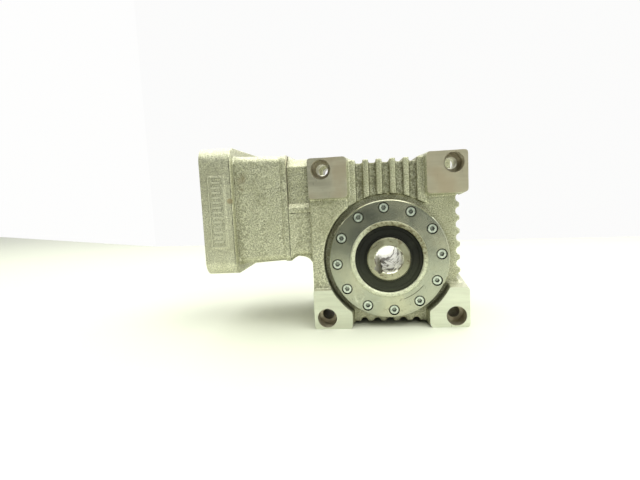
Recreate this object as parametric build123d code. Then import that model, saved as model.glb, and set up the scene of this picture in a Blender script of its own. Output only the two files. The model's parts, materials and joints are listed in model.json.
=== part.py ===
"""Right-angle worm gearbox with a hollow output shaft and a motor flange.

Millimetres, +Z up.  The origin is the middle of the hollow output shaft.
The output shaft turns about Y and the worm turns about the line y = 0, z = CENTRES, along X.
The motor flange is at -X, and the front and rear covers are at -Y and +Y.
"""
from math import cos, pi, radians, sin, tan
import os

from build123d import *

# ---- driving dimensions -----------------------------------------------------------------
CENTRES = 50.0             # from the output axis up to the worm axis

# gear pair
MODULE = 2.5
WHEEL_TEETH = 30
WORM_PITCH_R = 12.5
PRESSURE_ANGLE = 20.0
BACKLASH = 0.35            # taken off the thickness of the worm thread and of each wheel tooth
ADDENDUM = 2.5
DEDENDUM = 3.0
RIM_WIDTH = 22.0
RIM_INNER_R = 30.0
WORM_TURNS = 6             # even, so that a crest meets the wheel's middle

# hollow output shaft
BORE_R = 12.5
SHAFT_R = 20.0
SHAFT_HALF = 58.0
SHOULDER_R = 24.0
OUT_KEY_W = 8.0
OUT_KEY_TOP = 15.8         # from the axis to the keyway's floor
OUT_KEY_ANGLE = -137.0     # keyway direction seen from the front, from +X towards +Z

# housing
PAD_X = 71.0               # outer sides of the mounting lugs
PAD_TOP = 95.0
PAD_BOTTOM = -64.0
PAD_FACE = 60.0            # machined faces of the lugs, front and rear
PAD_W = 35.5
PAD_H = 36.8
UPPER_LUG_DEPTH = 40.0
LOWER_LUG_DEPTH = 48.0
LUG_DRAFT = 0.12           # slope of a lug's inner sides
LUG_CORNER = 3.0
LUG_SKIN = 0.05            # milled off the outer sides so that they are true planes
HOLE_X = 59.0
HOLE_TOP = 84.5
HOLE_BOTTOM = -53.5
HOLE_R = 5.5
CBORE_R = 9.0
CBORE_DEPTH = 16.0
WALL_FACE = 45.5           # deep front and rear walls, where the covers seat
RIB_WALL = 50.0            # crests of the ribbed wall above the cover
LEFT_WALL = 55.0           # raised wall on the motor side
CASE_LEFT = -71.0
CASE_RIGHT = 66.0
CASE_BOTTOM = -61.6
CASE_SHOULDER = 60.0       # top of the wheel case beside the tower
TOWER_HALF = 36.5
TOWER_TOP = 92.0
POCKET_R = 60.0            # round pocket around each cover
COVER_OPENING_R = 43.0
CHAMBER_R = 50.0
CHAMBER_HALF = 27.0
CASE_WALL = 7.0            # thickness of the wheel chamber's wall
CORNER_FROM_X = 44.0       # room behind the lower lugs starts here
CORNER_TOP = -40.0
BARREL_R = 32.0            # round case about the worm
RIB_PITCH = 12.2
RIB_COUNT = 5
TOP_GROOVE_W = 6.8
TOP_GROOVE_DEPTH = 3.2
BOTTOM_GROOVE_R = 3.5
SIDE_GROOVE_R = 4.0
SIDE_GROOVE_TOP = 53.0
SIDE_GROOVES = 7

# neck and motor adapter, square sections centred on the worm axis
NECK_HALF = 46.0
NECK_Y_HALF = 49.5
NECK_CORNER = 7.0
NECK_TAPER_END = -86.0
SEAM_X = -92.0
GASKET_T = 0.5
ADAPTER_HALF = 50.5
BODY_HALF = 52.0
FLANGE_HALF = 60.0
FLANGE_CORNER = 13.0
FLANGE_BACK = -142.5
MOTOR_FACE = -172.5
PILOT_R = 55.0
PILOT_DEPTH = 4.5
BELL_R = 43.0
BELL_END = -107.0
MOTOR_PCD = 130.0
MOTOR_BOLT_R = 4.0
MOTOR_BOLT_DEPTH = 20.0
ADAPTER_SCREW_AT = 33.5    # each way from the worm axis
PLATE_AT = 7.5             # from the motor face to the raised plate on each flange side
PLATE_W = 15.0
PLATE_H = 66.0
PLATE_T = 0.8
UPPER_SET_BACK = 3.0       # the neck's upper part is narrower than its lower part
LEDGE_LOW = 50.5           # the slope between the two starts and ends at these heights
LEDGE_TOP = 54.5
UPPER_BEVEL = 7.0           # along the top edges of the upper part
LINE_Z = 45.5              # height of the fine line below it
LINE_W = 1.4
WEB = 17.0                 # sloping web under the neck
WEB_CORNER_R = 12.0

# covers
COVER_R = 54.5
COVER_FACE = 58.0
COVER_SPIGOT_R = 42.9
COVER_SPIGOT_END = 31.0
LIP_R = 35.0
LIP_FACE = 59.2
COVER_SCREWS = 12
COVER_PCD_R = 47.5
COVER_SCREW_ANGLE = 4.0
SCREW_CBORE_R = 5.0
SCREW_CBORE_DEPTH = 5.6
COVER_TAP_R = 2.5
COVER_TAP_DEPTH = 14.0
COVER_SCREW_HOLE_R = 2.75
SPIGOT_GROOVE = 2.1        # depth of the O-ring groove in the spigot
O_RING_R = 1.0             # section radius
O_RING_AT = 40.5
BEARING_STOP_R = 29.0      # hole in the web between bearing and seal

# bearings: bore radius, outer radius, width, ball count, ball radius
BEARING_OUT = (20.0, 34.0, 15.0, 12, 3.9)
BEARING_WORM_IN = (12.5, 26.0, 15.0, 9, 3.9)
BEARING_WORM_END = (10.0, 23.5, 14.0, 8, 3.9)
OUT_BEARING_AT = 31.0      # inner side of each output bearing
WORM_IN_AT = -91.0         # motor side of the worm's input bearing
WORM_END_AT = 41.0         # inner side of the worm's end bearing

# seals
OUT_SEAL_R = 31.0
OUT_SEAL_AT = 48.0
OUT_SEAL_W = 8.0
IN_SEAL_R = 23.5
IN_SEAL_AT = -102.0
IN_SEAL_W = 7.0
IN_SEAL_STOP_R = 16.0      # hole in the wall that the seal rests against

# worm tunnel
TUNNEL_R = 20.0
END_STOP_R = 19.0          # hole in the wall that the end bearing rests against
ADAPTER_HOLE_R = 21.0      # hole in the adapter's face in front of the input seal

# adapter screws
ADAPTER_TAP_R = 4.0
ADAPTER_TAP_DEPTH = 15.0
ADAPTER_CLEAR_R = 4.5
ADAPTER_SPOT_R = 7.5

# retaining rings at the closed end
RING_GROOVE_GAP = 0.2
HOUSING_RING_W = 1.9
HOUSING_RING_DEPTH = 1.3
WORM_RING_W = 1.4
WORM_RING_R = 9.4

# oil plug in the closed end's wall
PLUG_Y = 22.0
PLUG_Z = -8.2
PLUG_R = 6.0
PLUG_HEAD_R = 9.0
PLUG_SEAT = CASE_RIGHT - 7.0
PLUG_HOLE_END = 38.0
WASHER_T = 1.5

# worm shaft
QUILL_R = 12.5
QUILL_END = -166.0         # inside the motor pilot recess's floor
MOTOR_BORE_R = 7.0
MOTOR_BORE_DEPTH = 36.0
MOTOR_KEY_W = 5.0
MOTOR_KEY_TOP = 9.3
WORM_END_X = 58.5
WORM_END_R = 10.0
WORM_COLLAR_R = 16.5       # shoulder against the input bearing
WORM_COLLAR = 5.0          # width of that shoulder
END_COLLAR_R = 12.5        # shoulder against the end bearing
END_COLLAR = 5.0
RUN_OUT = 6.0              # cone from the input shoulder down to the thread's root

SEAT_GAP = 0.05            # radial room at seats inside one body
RUN_GAP = 0.10             # radial room where a shaft turns in a seal
THREAD_GAP = 0.05          # between a screw's shank and its hole
EDGE = 0.8                 # small machined chamfer
FAR = 80.0                 # reach of cutters that pass right through

PARTS = {}


# ---- helpers ----------------------------------------------------------------------------
def block(x0, x1, y0, y1, z0, z1):
    """A box between two corners."""
    size = (x1 - x0, y1 - y0, z1 - z0)
    return Pos((x0 + x1) / 2, (y0 + y1) / 2, (z0 + z1) / 2) * Box(*size)


def turned_x(*points):
    """A solid turned about X from (along, radius) points."""
    return revolve(Plane.XZ * make_face(Polyline(*points, close=True)), Axis.X)


def turned_y(*points):
    """A solid turned about Y from (along, radius) points."""
    return revolve(Plane.YZ * make_face(Polyline(*points, close=True)), Axis.Y)


def on_worm_axis(shape):
    """Lift a shape made about X up to the worm axis."""
    return Pos(0, 0, CENTRES) * shape


def bar_x(radius, x0, x1, y=0.0, z=0.0):
    """A cylinder along X."""
    return Pos((x0 + x1) / 2, y, z) * Rot(0, 90, 0) * Cylinder(radius, x1 - x0)


def bar_y(radius, y0, y1, x=0.0, z=0.0):
    """A cylinder along Y."""
    return Pos(x, (y0 + y1) / 2, z) * Rot(90, 0, 0) * Cylinder(radius, y1 - y0)


def rear_of(front):
    """The rear counterpart of a front piece."""
    return Compound(children=[mirror(solid, about=Plane.XZ) for solid in front.solids()])


def polar(radius, degrees):
    """A point on a circle in the plane seen from the front, as x and z."""
    return radius * cos(radians(degrees)), radius * sin(radians(degrees))


def square_section(x, half_y, half_z, corner):
    """A round-cornered section across the worm axis at one x."""
    plane = Plane((x, 0, CENTRES), x_dir=(0, 1, 0), z_dir=(1, 0, 0))
    return plane * RectangleRounded(2 * half_y, 2 * half_z, corner)


# ---- gear pair --------------------------------------------------------------------------
def involute_half_angle(radius, thickness_at_pitch):
    """Half the angle that a wheel tooth spans at one radius."""
    pitch_r = MODULE * WHEEL_TEETH / 2
    base_r = pitch_r * cos(radians(PRESSURE_ANGLE))

    def involute(r):
        unrolled = (max(r * r - base_r * base_r, 0.0)) ** 0.5 / base_r
        return unrolled - atan_of(unrolled)

    return thickness_at_pitch / (2 * pitch_r) + involute(pitch_r) - involute(radius)


def atan_of(value):
    """The angle whose tangent is value, from a direction vector."""
    return radians(Vector(1, 0).get_angle(Vector(1, value)))


def wheel_outline():
    """The toothed outline, with a tooth gap centred on +Z."""
    pitch_r = MODULE * WHEEL_TEETH / 2
    tip_r = pitch_r + ADDENDUM
    root_r = pitch_r - DEDENDUM
    flank_r = pitch_r * cos(radians(PRESSURE_ANGLE)) + 0.05
    thickness = pi * MODULE / 2 - BACKLASH
    step = 2 * pi / WHEEL_TEETH

    def at(radius, angle):
        return radius * sin(angle), radius * cos(angle)

    edges = []
    for tooth in range(WHEEL_TEETH):
        middle = (tooth + 0.5) * step
        low = involute_half_angle(flank_r, thickness)
        mid = involute_half_angle(pitch_r, thickness)
        top = involute_half_angle(tip_r, thickness)
        following = middle + step - low
        edges += [
            Line(at(root_r, middle - low), at(flank_r, middle - low)),
            ThreePointArc(
                at(flank_r, middle - low), at(pitch_r, middle - mid), at(tip_r, middle - top)
            ),
            Line(at(tip_r, middle - top), at(tip_r, middle + top)),
            ThreePointArc(
                at(tip_r, middle + top), at(pitch_r, middle + mid), at(flank_r, middle + low)
            ),
            Line(at(flank_r, middle + low), at(root_r, middle + low)),
            Line(at(root_r, middle + low), at(root_r, following)),
        ]
    return make_face(edges)


def worm_wheel_rim():
    """Bronze rim with teeth that lean at the worm's lead angle."""
    pitch_r = MODULE * WHEEL_TEETH / 2
    lean = MODULE / (2 * WORM_PITCH_R)
    half_turn = lean * (RIM_WIDTH / 2) / pitch_r * 180 / pi
    outline = wheel_outline()
    ends = []
    for side in (-1, 1):
        plane = Plane((0, side * RIM_WIDTH / 2, 0), x_dir=(1, 0, 0), z_dir=(0, -1, 0))
        ends.append(Rot(0, side * half_turn, 0) * (plane * outline))
    rim = loft(ends, ruled=True)
    return rim - bar_y(RIM_INNER_R + SEAT_GAP, -RIM_WIDTH, RIM_WIDTH)


def worm_thread():
    """Single-start right-hand thread about X, with a crest centred on -Z at x = 0."""
    lead = pi * MODULE
    tip_r = WORM_PITCH_R + ADDENDUM
    sunk_r = WORM_PITCH_R - DEDENDUM - 0.6
    thickness = pi * MODULE / 2 - BACKLASH
    slope = tan(radians(PRESSURE_ANGLE))
    height = WORM_TURNS * lead
    curves = []
    for radius, side in ((sunk_r, -1), (tip_r, -1), (tip_r, 1), (sunk_r, 1)):
        half = thickness / 2 - (radius - WORM_PITCH_R) * slope
        start = (0, 0, side * half - height / 2)
        curves.append(Edge.make_helix(lead, height, radius, center=start))
    sides = [
        Face.make_surface_from_curves(curves[i], curves[(i + 1) % 4])
        for i in range(4)
    ]
    caps = []
    for end in (0, 1):
        corners = [curve.edges()[0] @ end for curve in curves]
        caps.append(Face(Wire.make_polygon(corners, close=True)))
    thread = Solid(Shell(sides + caps))
    return Rot(0, 90, 0) * thread


def worm_shaft():
    """Worm with a hollow quill towards the motor and a plain journal at the closed end."""
    root_r = WORM_PITCH_R - DEDENDUM
    thread_half = (WORM_TURNS * pi * MODULE) / 2
    bearing_stop = WORM_IN_AT + BEARING_WORM_IN[2]
    collar_end = bearing_stop + WORM_COLLAR
    core = turned_x(
        (QUILL_END, 0),
        (QUILL_END, QUILL_R - EDGE),
        (QUILL_END + EDGE, QUILL_R),
        (bearing_stop, QUILL_R),
        (bearing_stop, WORM_COLLAR_R),
        (collar_end, WORM_COLLAR_R),
        (collar_end + RUN_OUT, root_r),
        (WORM_END_AT - END_COLLAR - 2, root_r),
        (WORM_END_AT - END_COLLAR, END_COLLAR_R),
        (WORM_END_AT, END_COLLAR_R),
        (WORM_END_AT, WORM_END_R),
        (WORM_END_X - EDGE, WORM_END_R),
        (WORM_END_X, WORM_END_R - EDGE),
        (WORM_END_X, 0),
    )
    thread = worm_thread() & bar_x(40, -thread_half + 1, thread_half - 1)
    shaft = core + thread
    shaft -= bar_x(MOTOR_BORE_R, QUILL_END - 1, QUILL_END + MOTOR_BORE_DEPTH)
    shaft -= block(
        QUILL_END - 1, QUILL_END + MOTOR_BORE_DEPTH - 4,
        -MOTOR_KEY_W / 2, MOTOR_KEY_W / 2, 0, MOTOR_KEY_TOP,
    )
    groove_at = WORM_END_AT + BEARING_WORM_END[2] + RING_GROOVE_GAP
    shaft -= ring_x(WORM_RING_R, END_COLLAR_R, groove_at, groove_at + WORM_RING_W)
    return on_worm_axis(shaft)


def ring_x(inner, outer, x0, x1):
    """A plain ring about X."""
    return turned_x((x0, inner), (x0, outer), (x1, outer), (x1, inner))


def ring_y(inner, outer, y0, y1):
    """A plain ring about Y."""
    return turned_y((y0, inner), (y0, outer), (y1, outer), (y1, inner))


def output_shaft():
    """Hollow shaft with a wheel hub, one through bore and one keyway."""
    chamfered = SHAFT_R - 1.0
    hub_half = RIM_WIDTH / 2
    stop = OUT_BEARING_AT
    outline = [
        (-SHAFT_HALF, 0), (-SHAFT_HALF, chamfered), (-SHAFT_HALF + 1, SHAFT_R),
        (-stop, SHAFT_R), (-stop, SHOULDER_R), (-hub_half - 3, SHOULDER_R + 1),
        (-hub_half, RIM_INNER_R - 2), (-hub_half, RIM_INNER_R), (hub_half, RIM_INNER_R),
        (hub_half, RIM_INNER_R - 2), (hub_half + 3, SHOULDER_R + 1), (stop, SHOULDER_R),
        (stop, SHAFT_R), (SHAFT_HALF - 1, SHAFT_R), (SHAFT_HALF, chamfered), (SHAFT_HALF, 0),
    ]
    shaft = turned_y(*outline) - bar_y(BORE_R, -FAR, FAR)
    for side in (-1, 1):
        mouth = turned_y(
            (side * (SHAFT_HALF + 1), 0),
            (side * (SHAFT_HALF + 1), BORE_R + 2),
            (side * (SHAFT_HALF - 1), BORE_R),
            (side * (SHAFT_HALF - 1), 0),
        )
        shaft -= mouth
    key = block(0, OUT_KEY_TOP, -FAR, FAR, -OUT_KEY_W / 2, OUT_KEY_W / 2)
    return shaft - Rot(0, -OUT_KEY_ANGLE, 0) * key


# ---- bearings ---------------------------------------------------------------------------
def bearing_set(prefix, spec, start, about_x):
    """Outer ring, inner ring, balls and cage of one deep-groove bearing."""
    bore_r, outer_r, width, count, ball_r = spec
    middle = start + width / 2
    pitch_r = (bore_r + outer_r) / 2
    track = ball_r + 0.12
    wall = ball_r * 0.68
    ring = ring_x if about_x else ring_y
    end = start + width
    outer = ring(pitch_r + wall, outer_r - SEAT_GAP, start, end)
    inner = ring(bore_r + SEAT_GAP, pitch_r - wall, start, end)
    if about_x:
        place = Pos(middle, 0, CENTRES) * Rot(0, 90, 0)
    else:
        place = Pos(0, middle, 0) * Rot(90, 0, 0)
    half = width * 0.3
    groove = place * Torus(pitch_r, track)
    cage = Cylinder(pitch_r + 1.0, 2 * half) - Cylinder(pitch_r - 1.0, 3 * half)
    balls = []
    for number in range(count):
        spoke = Rot(0, 0, 360 / count * number)
        balls.append(place * spoke * Pos(pitch_r, 0, 0) * Sphere(ball_r))
        cage -= spoke * Pos(pitch_r, 0, 0) * Rot(0, 90, 0) * Cylinder(track, 8)
    if about_x:
        outer = on_worm_axis(outer)
        inner = on_worm_axis(inner)
    PARTS[prefix + "_bearing_outer_ring"] = outer - groove
    PARTS[prefix + "_bearing_inner_ring"] = inner - groove
    PARTS[prefix + "_bearing_balls"] = Compound(children=balls)
    PARTS[prefix + "_bearing_cage"] = place * cage


# ---- housing ----------------------------------------------------------------------------
def lug_depth(top):
    """How far a lug reaches in from its milled face."""
    return UPPER_LUG_DEPTH if top else LOWER_LUG_DEPTH


def lug(side_x, top, side_y):
    """One corner lug: its outer sides are flat and its inner sides are drafted."""
    down = -1 if top else 1
    outer_z = (PAD_TOP if top else PAD_BOTTOM) - down * LUG_SKIN
    faces = []
    for depth in (0.0, lug_depth(top)):
        grow = LUG_DRAFT * depth
        width = PAD_W + grow
        height = PAD_H + grow
        centre_x = side_x * (PAD_X + LUG_SKIN - width / 2)
        centre_z = outer_z + down * height / 2
        level = side_y * (PAD_FACE - depth)
        plane = Plane((centre_x, level, centre_z), x_dir=(1, 0, 0), z_dir=(0, -1, 0))
        faces.append(plane * RectangleRounded(width, height, LUG_CORNER))
    limits = block(-PAD_X, PAD_X, -PAD_FACE, PAD_FACE, PAD_BOTTOM, PAD_TOP)
    return loft(faces, ruled=True) & limits


def lug_hole(side_x, top, side_y):
    """Counterbored hole through one lug."""
    x = side_x * HOLE_X
    z = HOLE_TOP if top else HOLE_BOTTOM
    face = side_y * (PAD_FACE + 1)
    floor = side_y * (PAD_FACE - CBORE_DEPTH)
    back = side_y * (PAD_FACE - lug_depth(top) - 2)
    low, high = sorted((face, back))
    through = bar_y(HOLE_R, low, high, x, z)
    low, high = sorted((face, floor))
    return through + bar_y(CBORE_R, low, high, x, z)


def case_outside():
    """Outer shape of the casting without its holes."""
    case = block(CASE_LEFT, CASE_RIGHT, -WALL_FACE, WALL_FACE, CASE_BOTTOM, CASE_SHOULDER)
    case += block(-TOWER_HALF, TOWER_HALF, -RIB_WALL, RIB_WALL, CENTRES, TOWER_TOP)
    case += block(CASE_LEFT, -TOWER_HALF + 1, -LEFT_WALL, LEFT_WALL, PAD_BOTTOM + 30, PAD_TOP - 30)
    case += bar_x(BARREL_R, NECK_TAPER_END, CASE_RIGHT, 0, CENTRES)
    return case


def lower_corners():
    """Room behind the lower lugs, round the wheel chamber's wall."""
    wall = bar_y(CHAMBER_R + CASE_WALL, -FAR, FAR)
    depth = PAD_FACE - LOWER_LUG_DEPTH
    cuts = []
    for side in (-1, 1):
        low, high = sorted((side * CORNER_FROM_X, side * FAR))
        cuts.append(block(low, high, -depth, depth, PAD_BOTTOM - 5, CORNER_TOP) - wall)
    return cuts


def side_ribs():
    """Grooves along Y that leave rounded ribs on the closed end's wall."""
    return [
        bar_y(SIDE_GROOVE_R, -FAR, FAR, CASE_RIGHT + 0.4, SIDE_GROOVE_TOP - RIB_PITCH * n)
        for n in range(SIDE_GROOVES)
    ]


def bottom_grooves():
    """Half-round grooves along Y under the case."""
    first = -RIB_PITCH * (RIB_COUNT - 1) / 2
    return [
        bar_y(BOTTOM_GROOVE_R, -FAR, FAR, first + RIB_PITCH * n, CASE_BOTTOM)
        for n in range(RIB_COUNT)
    ]


def top_grooves():
    """Grooves that run down the front wall, over the top and down the rear wall."""
    first = -RIB_PITCH * (RIB_COUNT - 1) / 2
    cuts = []
    for n in range(RIB_COUNT):
        x = first + RIB_PITCH * n
        left = x - TOP_GROOVE_W / 2
        right = x + TOP_GROOVE_W / 2
        cuts.append(block(left, right, -FAR, FAR, TOWER_TOP - TOP_GROOVE_DEPTH, TOWER_TOP + 5))
        for side in (-1, 1):
            low, high = sorted((side * (RIB_WALL - TOP_GROOVE_DEPTH), side * (RIB_WALL + 5)))
            cuts.append(block(left, right, low, high, CENTRES, TOWER_TOP + 5))
    return cuts


def beside_upper_neck(side, low, high):
    """Space beside and above the neck's narrower, bevelled upper part, between two x positions."""
    set_back = NECK_Y_HALF - UPPER_SET_BACK
    beyond = NECK_Y_HALF + UPPER_SET_BACK
    past = LEDGE_LOW - (LEDGE_TOP - LEDGE_LOW)
    top = CENTRES + NECK_HALF
    reach = UPPER_BEVEL + 6
    corners = [
        (beyond, past), (set_back, LEDGE_TOP), (set_back, top - UPPER_BEVEL),
        (set_back - reach, top - UPPER_BEVEL + reach), (set_back - reach, 2 * FAR), (beyond, 2 * FAR),
    ]
    outline = make_face(Polyline(*[(side * y, z) for y, z in corners], close=True))
    return extrude(Plane((low, 0, 0), x_dir=(0, 1, 0), z_dir=(1, 0, 0)) * outline, high - low)


def neck():
    """Square neck that carries the motor adapter, flared at its joint face."""
    flare = loft([
        square_section(SEAM_X, ADAPTER_HALF, ADAPTER_HALF, NECK_CORNER),
        square_section(NECK_TAPER_END, NECK_Y_HALF, NECK_HALF, NECK_CORNER),
    ], ruled=True)
    straight = extrude(square_section(NECK_TAPER_END, NECK_Y_HALF, NECK_HALF, NECK_CORNER), 16)
    shape = flare + straight
    for side in (-1, 1):
        shape -= beside_upper_neck(side, SEAM_X - 1, CASE_LEFT)
        line = Pos(0, side * NECK_Y_HALF, LINE_Z) * Rot(45, 0, 0) * Box(5 * FAR, LINE_W, LINE_W)
        shape -= line & block(NECK_TAPER_END, CASE_LEFT, -FAR, FAR, 0, 2 * CENTRES)
    return shape


def cover_screw_places():
    """Centres of the cover screws, as x and z."""
    step = 360 / COVER_SCREWS
    return [polar(COVER_PCD_R, 90 + COVER_SCREW_ANGLE + step * n) for n in range(COVER_SCREWS)]


def housing():
    """Cast gear case with eight lugs, ribs, bores and tapped holes."""
    body = case_outside() + neck()
    web = Pos(CASE_LEFT, 0, CENTRES - NECK_HALF) * Rot(0, 45, 0) * Box(WEB, 2 * WALL_FACE, WEB)
    body += web & block(NECK_TAPER_END, CASE_LEFT + 1, -WALL_FACE, WALL_FACE, -20, CENTRES)
    hollow_x = CASE_LEFT - WEB_CORNER_R
    hollow_z = CENTRES - NECK_HALF - WEB_CORNER_R
    body -= bar_y(WEB_CORNER_R, -FAR, FAR, hollow_x, hollow_z)
    for cut in lower_corners():
        body -= cut
    lugs = [(sx, top, sy) for sx in (-1, 1) for top in (False, True) for sy in (-1, 1)]
    for place in lugs:
        body += lug(*place)
    ribbed = block(
        -TOWER_HALF, CASE_RIGHT + 5, -RIB_WALL - 1, RIB_WALL + 1, PAD_BOTTOM - 6, TOWER_TOP + 6
    )
    for cut in side_ribs() + bottom_grooves() + top_grooves():
        body -= cut & ribbed
    for place in lugs:
        body -= lug_hole(*place)
    for side in (-1, 1):
        low, high = sorted((side * WALL_FACE, side * FAR))
        body -= bar_y(POCKET_R, low, high)
    body -= bar_y(COVER_OPENING_R, -FAR, FAR)
    body -= bar_y(CHAMBER_R, -CHAMBER_HALF, CHAMBER_HALF)
    body -= housing_worm_bores()
    for x, z in cover_screw_places():
        for side in (-1, 1):
            low, high = sorted((side * (WALL_FACE - COVER_TAP_DEPTH), side * (WALL_FACE + 1)))
            body -= bar_y(COVER_TAP_R + THREAD_GAP, low, high, x, z)
    for y, z in adapter_screw_places():
        body -= bar_x(ADAPTER_TAP_R + THREAD_GAP, SEAM_X - 1, SEAM_X + ADAPTER_TAP_DEPTH, y, z)
    return body - oil_plug_hole()


def housing_worm_bores():
    """Worm tunnel with a bearing bore at each end."""
    in_width = BEARING_WORM_IN[2]
    end_width = BEARING_WORM_END[2]
    in_stop = WORM_IN_AT + in_width
    end_r = BEARING_WORM_END[1]
    bores = bar_x(TUNNEL_R, in_stop - 1, WORM_END_AT - 4)
    bores += bar_x(BEARING_WORM_IN[1], SEAM_X - 1, in_stop)
    bores += bar_x(END_STOP_R, WORM_END_AT - 5, WORM_END_AT + 1)
    bores += bar_x(end_r, WORM_END_AT, CASE_RIGHT + 1)
    groove = WORM_END_AT + end_width + RING_GROOVE_GAP
    bores += bar_x(end_r + HOUSING_RING_DEPTH, groove, groove + HOUSING_RING_W)
    return on_worm_axis(bores)


def adapter_screw_places():
    """Centres of the adapter screws, as y and z."""
    at = ADAPTER_SCREW_AT
    return [(sy * at, CENTRES + sz * at) for sy in (-1, 1) for sz in (-1, 1)]


# ---- motor adapter ----------------------------------------------------------------------
def motor_adapter():
    """Square motor flange and bell that bolts to the housing's neck."""
    back = SEAM_X - GASKET_T
    flange = extrude(
        square_section(MOTOR_FACE, FLANGE_HALF, FLANGE_HALF, FLANGE_CORNER),
        FLANGE_BACK - MOTOR_FACE,
    )
    flange = chamfer(flange.faces().sort_by(Axis.X)[0].edges(), EDGE)
    body = loft([
        square_section(FLANGE_BACK - 1, BODY_HALF, BODY_HALF, NECK_CORNER),
        square_section(back - 4.5, ADAPTER_HALF - 1, ADAPTER_HALF - 1, NECK_CORNER),
    ], ruled=True)
    rim = extrude(square_section(back - 4.6, ADAPTER_HALF, ADAPTER_HALF, NECK_CORNER), 4.6)
    shape = flange + body + rim
    for side in (-1, 1):
        low, high = sorted((side * (FLANGE_HALF - 0.2), side * (FLANGE_HALF + PLATE_T)))
        shape += block(
            MOTOR_FACE + PLATE_AT, MOTOR_FACE + PLATE_AT + PLATE_W, low, high,
            CENTRES - PLATE_H / 2, CENTRES + PLATE_H / 2,
        )
    inside = bar_x(PILOT_R, MOTOR_FACE - 1, MOTOR_FACE + PILOT_DEPTH)
    inside += bar_x(BELL_R, MOTOR_FACE, BELL_END)
    inside += bar_x(IN_SEAL_R, IN_SEAL_AT, IN_SEAL_AT + IN_SEAL_W)
    inside += bar_x(ADAPTER_HOLE_R, IN_SEAL_AT, back + 1)
    inside += bar_x(IN_SEAL_STOP_R, BELL_END - 1, IN_SEAL_AT + 1)
    shape -= on_worm_axis(inside)
    for n in range(4):
        y, z = polar(MOTOR_PCD / 2, 45 + 90 * n)
        end = MOTOR_FACE + MOTOR_BOLT_DEPTH
        shape -= bar_x(MOTOR_BOLT_R, MOTOR_FACE - 1, end, y, CENTRES + z)
    for y, z in adapter_screw_places():
        shape -= bar_x(ADAPTER_CLEAR_R, BELL_END - 2, back + 1, y, z)
        shape -= bar_x(ADAPTER_SPOT_R, MOTOR_FACE - 1, BELL_END + 0.5, y, z)
    return shape


def adapter_gasket():
    """Thin gasket between the neck and the adapter."""
    sheet = extrude(
        square_section(SEAM_X - GASKET_T, ADAPTER_HALF - 0.8, ADAPTER_HALF - 0.8, NECK_CORNER),
        GASKET_T,
    )
    sheet -= on_worm_axis(bar_x(BEARING_WORM_IN[1] + 0.5, SEAM_X - 2, SEAM_X + 2))
    for y, z in adapter_screw_places():
        sheet -= bar_x(ADAPTER_CLEAR_R, SEAM_X - 2, SEAM_X + 2, y, z)
    for side in (-1, 1):
        sheet -= beside_upper_neck(side, SEAM_X - 2, SEAM_X + 2)
    return sheet


def socket_screw(shank_r, length, head_r, head_h, hex_flat):
    """Socket head screw along -Z, with the underside of its head at z = 0."""
    head = Pos(0, 0, head_h / 2) * Cylinder(head_r, head_h)
    head = chamfer(head.edges().group_by(Axis.Z)[-1], head_h * 0.09)
    socket_depth = head_h * 0.55
    socket = Pos(0, 0, head_h - socket_depth) * extrude(
        RegularPolygon(hex_flat / 2, 6, major_radius=False), socket_depth + 1
    )
    shank = Pos(0, 0, -length / 2) * Cylinder(shank_r, length)
    shank = chamfer(shank.edges().group_by(Axis.Z)[0], shank_r * 0.25)
    return head + shank - socket


def adapter_screws():
    """Four M8 screws that hold the adapter to the neck."""
    screw = Rot(0, -90, 0) * socket_screw(ADAPTER_TAP_R, 28.0, 6.5, 8.0, 6.0)
    at = BELL_END + 0.5
    return Compound(children=[Pos(at, y, z) * screw for y, z in adapter_screw_places()])


# ---- covers and their pieces ------------------------------------------------------------
def front_cover():
    """Bearing cover with a raised lip around the seal and counterbored screw holes."""
    bore_r = BEARING_OUT[1]
    bearing_back = OUT_BEARING_AT + BEARING_OUT[2]
    groove_r = COVER_SPIGOT_R - SPIGOT_GROOVE
    groove_half = 1.5 * O_RING_R
    lip_edge = 0.9
    cover = turned_y(
        (-COVER_SPIGOT_END, bore_r),
        (-COVER_SPIGOT_END, COVER_SPIGOT_R - EDGE),
        (-COVER_SPIGOT_END - EDGE, COVER_SPIGOT_R),
        (-O_RING_AT + groove_half, COVER_SPIGOT_R),
        (-O_RING_AT + groove_half, groove_r),
        (-O_RING_AT - groove_half, groove_r),
        (-O_RING_AT - groove_half, COVER_SPIGOT_R),
        (-WALL_FACE, COVER_SPIGOT_R),
        (-WALL_FACE, COVER_R),
        (-COVER_FACE + EDGE, COVER_R),
        (-COVER_FACE, COVER_R - EDGE),
        (-COVER_FACE, LIP_R + 0.3),
        (-LIP_FACE + lip_edge, LIP_R),
        (-LIP_FACE, LIP_R - lip_edge),
        (-LIP_FACE, OUT_SEAL_R + lip_edge),
        (-LIP_FACE + lip_edge, OUT_SEAL_R),
        (-OUT_SEAL_AT, OUT_SEAL_R),
        (-OUT_SEAL_AT, BEARING_STOP_R),
        (-bearing_back, BEARING_STOP_R),
        (-bearing_back, bore_r),
    )
    for x, z in cover_screw_places():
        cover -= bar_y(COVER_SCREW_HOLE_R, -FAR, -COVER_SPIGOT_END, x, z)
        cover -= bar_y(SCREW_CBORE_R, -FAR, -COVER_FACE + SCREW_CBORE_DEPTH, x, z)
    return cover


def front_cover_screws():
    """Twelve M5 socket screws."""
    screw = Rot(90, 0, 0) * socket_screw(COVER_TAP_R, 18.0, 4.25, 5.0, 4.0)
    seat = -COVER_FACE + SCREW_CBORE_DEPTH
    return Compound(children=[Pos(x, seat, z) * screw for x, z in cover_screw_places()])


def front_cover_o_ring():
    """Sealing ring in the cover's spigot groove."""
    centre_r = (COVER_SPIGOT_R - SPIGOT_GROOVE + COVER_OPENING_R) / 2
    return Pos(0, -O_RING_AT, 0) * Rot(90, 0, 0) * Torus(centre_r, O_RING_R)


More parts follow.
